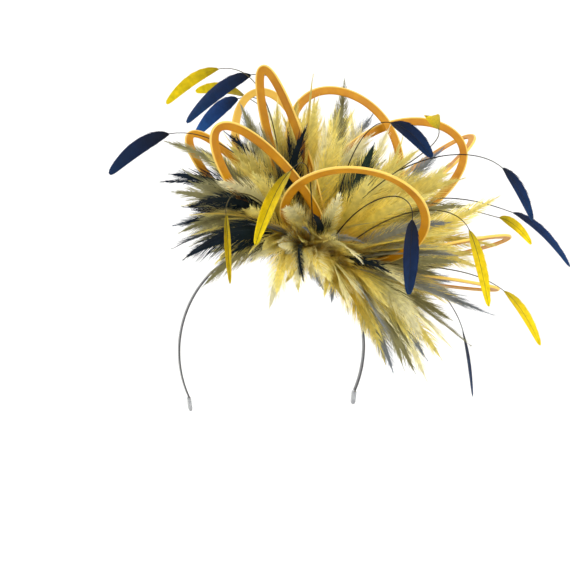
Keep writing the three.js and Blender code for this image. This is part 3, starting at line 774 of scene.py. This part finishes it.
def quill_spine(row):
    """The quill's shaft from the pad to the tip of its leaf, and the share of it where the leaf begins."""
    root = root_point(row["spot"], row["seat"], PAD["root_depth"])
    neck = root_point(0, 0, PAD["root_depth"]) + direction(row["bearing"], row["rise"]) * row["reach"]
    leaf = direction(row["heading"], row["pitch"])
    bend = unit(leaf + UP * QUILL["sag"] * 4)
    launch = root + direction(row["bearing"], row["launch"]) * row["reach"] * 0.45
    settle = neck - bend * row["reach"] * 0.25
    t = np.linspace(0, 1, 36)[:, None]
    stem = (1 - t) ** 3 * root + 3 * t * (1 - t) ** 2 * launch
    stem = stem + 3 * t**2 * (1 - t) * settle + t**3 * neck
    s = np.linspace(0, 1, 25)[1:, None]
    vane = neck + leaf * row["vane"] * s + UP * row["vane"] * QUILL["sag"] * 4 * s * (1 - s)
    points = np.vstack([stem, vane])
    along = unit(np.gradient(points, axis=0))
    stem_share = QUILL["stem_share"]
    share = np.concatenate([t[:, 0] * stem_share, lerp(stem_share, 1, s[:, 0])])
    roll = row["turn"] * smoothstep(share, stem_share - 0.15, stem_share + 0.1)
    side = np.array([turned(level(row["bearing"]), a, r) for a, r in zip(along, roll)])
    spine = Spine(points, side)
    return spine, spine.share[len(stem) - 1]


# Quills whose leaves are painted paler, as painted light where they catch it, and by how much.
LIT_QUILLS = dict(
    navy_upper_left=1.7,
    navy_back_left=4.2,
    navy_right=1.4,
    navy_far_right=1.6,
    navy_low_right=1.5,
)
LEAF_BARB = dict(lean=24, tip_lean=18, width=0.6, tuft=18, pull=0.05, ragged=0.0015, uneven=0.02,
                 fray=0.1, cup=0.35)
LEAF_WEB = 0.46


def make_quill(row, material):
    """A stripped quill with a leaf-shaped vane left at its end."""
    navy = row["name"].startswith("navy")
    colours = NAVY if navy else YELLOW
    # Painted light: these leaves are painted paler where they catch the light.
    painted_light = LIT_QUILLS.get(row["name"], 1.0)
    spine, neck = quill_spine(row)
    heap = Heap()
    spine.shaft(heap, QUILL["radius"], QUILL["tip_radius"], colours["shaft"])
    s = np.linspace(0.01, 1.0, int(row["vane"] * QUILL["barbs_per_mm"]))
    leaf = np.sin(math.pi * np.minimum(1, s**0.8 * 0.93)) ** 0.7
    width = row["width"] * leaf * np.sqrt(np.clip(1 - ((s - 0.93) / 0.075).clip(0) ** 2, 0.05, 1))
    tips = lerp(neck, 1.0, s)
    tint = tinted(colours["vane"], colours["edge"], spread=0.05)

    def along_leaf(at, depth, loose):
        return painted_light * tint((at - neck) / (1 - neck), depth, loose)

    look = dict(LEAF_BARB, start=neck)
    notches = 0.04 * np.sin(s * 43 + row["bearing"])
    for sign, share in ((1, 0.52), (-1, 0.48)):
        barbs(heap, spine, tips, width * (share + 0.5 * notches), sign, look, along_leaf)
    web(heap, spine, tips, width, LEAF_WEB, look, along_leaf)
    quill = heap.piece(row["name"] + "_feather", material)
    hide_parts(row["name"])


def outside_head(points, clear=2.0):
    """Moves points that lie inside the head, or closer to it than clear, out to its surface."""
    size = HEAD + clear
    scaled = (points + [0, 0, HEAD[2]]) / size
    reach = np.linalg.norm(scaled, axis=1, keepdims=True)
    return np.where(reach < 1, scaled / reach, scaled) * size - [0, 0, HEAD[2]]


HACKLE = dict(radius=0.45, tip_radius=0.08, barbs_per_mm=1.7, down_per_mm=0.45, web=0.26)
HACKLE_BARB = dict(lean=38, tip_lean=17, width=0.36, tuft=7, pull=0.6, ragged=0.014, uneven=0.16,
                   fray=0.9, cup=0.2, start=0.05)
DOWN_BARB = dict(lean=52, tip_lean=40, width=0.28, tuft=3, pull=0.4, ragged=0.02, uneven=0.25,
                 fray=3.0, cup=0.1, start=0.02)


def hackle_axes(row):
    """A feather's root, the way that it leaves the pad and the way across its vane."""
    root = root_point(row["bearing"], row["start"], PAD["hackle_depth"])
    out = CREST_TURN @ direction(row["bearing"], row["rise"])
    return root, out, turned(CREST_TURN @ level(row["bearing"]), out, row["roll"])


def aimed(row):
    """A single feather's row with the whole bearing, rise and length that bring its tip to its place.

    Each step takes half of the way that is left."""
    tip = photo_point(row["tip"], row["depth"])
    x, y, _ = tip - CREST
    row = dict(row, bearing=math.degrees(math.atan2(y, x)), rise=45, length=100, bow=0)
    for _ in range(80):
        root, _, side = hackle_axes(row)
        bend = side * row["curl"] - UP * row["droop"]
        way = CREST_TURN.T @ (tip - root - bend * row["length"])
        length = np.linalg.norm(way)
        x, y, z = way / length
        row["bearing"] += 0.5 * ((math.degrees(math.atan2(y, x)) - row["bearing"] + 180) % 360 - 180)
        row["rise"] += 0.5 * (math.degrees(math.asin(z)) - row["rise"])
        row["length"] += 0.5 * (length - row["length"])
    row["bearing"] %= 360
    return dict(row, **{key: round(row[key]) for key in ("bearing", "rise", "length")})


def hackle(heap, row, palette):
    """A slim feather with soft down at its root, that arches out of the pad and sags."""
    root, out, side = hackle_axes(row)
    length = row["length"]
    bright = rng.uniform(0.84, 1.08)
    s = np.linspace(0, 1, 14)[:, None]
    bow = side * row["curl"] + np.cross(out, side) * row["bow"] - UP * row["droop"]
    points = root + out * length * s + bow * length * s**2
    points[2:] = outside_head(points[2:])
    spine = Spine(points, np.tile(side, (len(points), 1)))
    colours = [srgb(code) * bright for code in palette]
    spine.shaft(heap, HACKLE["radius"], HACKLE["tip_radius"], colours[1] * 1.1)
    tips = np.linspace(0.1, 1.03, int(length * HACKLE["barbs_per_mm"]))
    blunt = rng.uniform(2.2, 5.5)
    shoulder = np.sqrt(np.minimum(1, tips / 0.2))
    rounding = shoulder * np.clip(1 - np.clip(tips, 0, 1) ** blunt, 0, 1) ** 0.7
    width = row["half"] * rounding + 0.4
    # The barbs' roots are painted darker, as painted shade near the shaft.
    tint = tinted(colours, edge=1.2, spread=0.06)
    web(heap, spine, tips, width, HACKLE["web"], HACKLE_BARB, tint)
    down_tips = np.linspace(0.05, 0.4, int(length * HACKLE["down_per_mm"]))
    for sign in (1, -1):
        barbs(heap, spine, tips, width, sign, HACKLE_BARB, tint)
        down = row["half"] * rng.uniform(0.8, 1.5, len(down_tips))
        barbs(heap, spine, down_tips, down, sign, DOWN_BARB, tint)


# The golden section spreads the locks of a fan evenly, as in the frame.
GOLDEN = 0.618034
# The fans in each piece of the ruff.
RUFF_PIECES = {
    "hackles_left_low": (0, 1),
    "hackles_left_high": (2,),
    "hackles_back_low": (3, 4),
    "hackles_back_high": (5,),
    "hackles_right_low": (6,),
    "hackles_right_level": (7,),
    "hackles_right_rising": (8,),
    "hackles_right_high": (9,),
    "hackles_front": (10, 11),
}
# How many feathers there are to a lock of each fan.
IN_LOCK = (5, 5, 6, 5, 5, 7, 5, 5, 6, 8, 6, 7)
# How far a feather strays from its lock, and the ranges of its half width and of its share of the lock's
# length and droop.
STRAY = dict(start=8, bearing=17, rise=11, roll=50, curl=0.42, bow=0.2)
HALF_WIDTH = (10, 15)
LENGTH_SHARE = (0.6, 0.96)
DROOP_SHARE = (0.6, 1.15)
# The colours of each dye at a feather's root, middle and tip.
PALETTES = {
    "CREAM": ("dcbf5e", "efe69a", "f8f2ca"),
    "LEMON": ("dca92c", "efd858", "f2e792"),
    "STRAW": ("c89820", "e0c44a", "d8cb76"),
    "KHAKI": ("9c8440", "a69c62", "8e8c66"),
    "SLATE": ("a4904e", "a09e86", "7c8490"),
    "GREEN": ("4a4824", "34463c", "24362e"),
    "DARK": ("38341a", "14262a", "0c1a2c"),
}
# How often each dye comes up in the fans on the left, in those low on the right or behind, and in the rest.
LEFT_MIX = dict(CREAM=0.05, LEMON=0.17, STRAW=0.18, KHAKI=0.3, SLATE=0.08, DARK=0.22)
LOW_MIX = dict(CREAM=0.28, LEMON=0.14, STRAW=0.12, KHAKI=0.26, SLATE=0.2)
TOP_MIX = dict(CREAM=0.2, LEMON=0.46, STRAW=0.22, KHAKI=0.07, SLATE=0.03, DARK=0.02)
MIXES = (*[LEFT_MIX] * 3, *[LOW_MIX] * 2, TOP_MIX, *[LOW_MIX] * 2, *[TOP_MIX] * 4)


def chosen_palette(mix):
    return PALETTES[rng.choice(list(mix), p=list(mix.values()))]


def stray(name):
    """A random amount, either way, by which a feather strays from its lock."""
    return rng.uniform(-STRAY[name], STRAY[name])


def make_singles(material):
    heap = Heap()
    for row in SINGLE_HACKLES:
        hackle(heap, aimed(row), PALETTES[row["dye"]])
    singles = heap.piece("hackles_single", material)
    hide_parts("hackle_ruff")


def make_ruff(material):
    for name, fans in RUFF_PIECES.items():
        heap = Heap()
        for number in fans:
            fan = HACKLE_FANS[number]
            for i in range(fan["count"]):
                jitter = ((i + 1 + number * 7) * GOLDEN) % 1
                other = (jitter * 7) % 1
                bearing = lerp(fan["first"], fan["last"], (i + 0.5 * jitter + 0.25) / fan["count"])
                rise = fan["rise"] + fan["spread"] * (2 * other - 1)
                length = fan["length"] * lerp(0.84, 1.12, jitter)
                for member in range(IN_LOCK[number]):
                    row = dict(
                        start=fan["start"] - rng.uniform(0, STRAY["start"]),
                        bearing=bearing + stray("bearing"),
                        rise=rise + stray("rise"),
                        length=length * (0.98 if member == 0 else rng.uniform(*LENGTH_SHARE)),
                        droop=fan["droop"] * rng.uniform(*DROOP_SHARE),
                        roll=fan["roll"] + stray("roll"),
                        curl=stray("curl"),
                        bow=stray("bow"),
                        half=rng.uniform(*HALF_WIDTH),
                    )
                    hackle(heap, row, chosen_palette(MIXES[number]))
        ruff = heap.piece(name, material)
        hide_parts("hackle_ruff")


# The studio, in metres. A light has a place, a size, a power in watts and a colour, and faces the middle of
# the view.
FLOOR = -0.34
STUDIO = dict(flat=1.8, bend=1.5, wall=3.4, segments=96)
WARM, COOL, WHITE = (1.0, 0.98, 0.95), (0.95, 0.97, 1.0), (1.0, 1.0, 1.0)
LIGHTS = dict(
    key=((0.7, -1.0, 1.9), 0.8, 30, WARM),
    fill=((-1.6, -1.4, 0.4), 1.6, 5, COOL),
    back=((-0.5, 1.2, 1.3), 0.9, 12, WARM),
)
WASH = ((0, 0, 2.2), 1.0, 56, WHITE)


def make_camera():
    back = Vector(view_axes()[2])
    data = bpy.data.cameras.new("camera")
    data.lens = VIEW["lens"]
    data.sensor_width = VIEW["sensor"]
    camera = bpy.data.objects.new("camera", data)
    camera.location = MIDDLE + back * VIEW["distance"]
    camera.rotation_euler = back.to_track_quat("Z", "Y").to_euler()
    bpy.context.scene.collection.objects.link(camera)
    bpy.context.scene.camera = camera


def make_light(name, place_at, size, power, colour):
    data = bpy.data.lights.new(name, "AREA")
    data.shape = "DISK"
    data.size = size
    data.energy = power
    data.color = colour
    light = bpy.data.objects.new(name, data)
    light.location = place_at
    light.rotation_euler = (Vector(place_at) - MIDDLE).to_track_quat("Z", "Y").to_euler()
    bpy.context.scene.collection.objects.link(light)
    return light


def make_studio():
    """A pale round floor that sweeps up into a wall, soft light and a bright surround."""
    flat, bend, segments = STUDIO["flat"], STUDIO["bend"], STUDIO["segments"]
    curve = np.linspace(0, math.pi / 2, 17)
    radii = [0.02, 1.0, *(flat + bend * np.sin(curve)), flat + bend]
    heights = [0, 0, *(bend - bend * np.cos(curve)), STUDIO["wall"]]
    ring = [(math.cos(a), math.sin(a)) for a in circle(segments)]
    points = [(r * x, r * y, FLOOR + h) for r, h in zip(radii, heights) for x, y in ring]
    mesh = bpy.data.meshes.new("sweep")
    mesh.from_pydata(points, [], grid_faces(len(radii), segments, around=True).tolist())
    mesh.polygons.foreach_set("use_smooth", [True] * len(mesh.polygons))
    material, tree = new_material("pale_paper")
    shader = node(tree, "BsdfPrincipled", Roughness=0.9)
    colour = blended(tree, noise(tree, place(tree), 40), (0.78, 0.775, 0.77), (0.82, 0.815, 0.81))
    tree.links.new(colour, shader.inputs["Base Color"])
    finish_material(tree, shader)
    mesh.materials.append(material)
    floor = bpy.data.objects.new("sweep", mesh)
    bpy.context.scene.collection.objects.link(floor)
    for name, light in LIGHTS.items():
        make_light(name, *light)
    for quarter in range(4):
        wash = make_light(f"wash_{quarter}", *WASH)
        wash.rotation_euler = (math.pi / 2, 0, math.radians(45 + 90 * quarter))
    world = bpy.data.worlds.new("surround")
    world.use_nodes = True
    background = world.node_tree.nodes["Background"]
    background.inputs["Color"].default_value = (*COOL, 1)
    background.inputs["Strength"].default_value = 0.3
    bpy.context.scene.world = world
    bpy.context.scene.view_settings.view_transform = "Standard"


make_camera()
make_studio()
make_headband(gloss_material())
plate = silver_material()
make_tip("band_tip_left", -1, plate)
make_tip("band_tip_right", 1, plate)
make_base(straw_material())
satin = satin_material()
for loop_row in LOOPS:
    make_loop(loop_row, satin)
leaf_barbs = feather_material("trimmed_vane", 0.5, 0.12, 0.02)
for quill_row in QUILLS:
    make_quill(quill_row, leaf_barbs)
hackle_barbs = feather_material("hackle_vane", 0.6, 0.38, 0.12)
make_heading(hackle_barbs)
make_ruff(hackle_barbs)
make_singles(hackle_barbs)
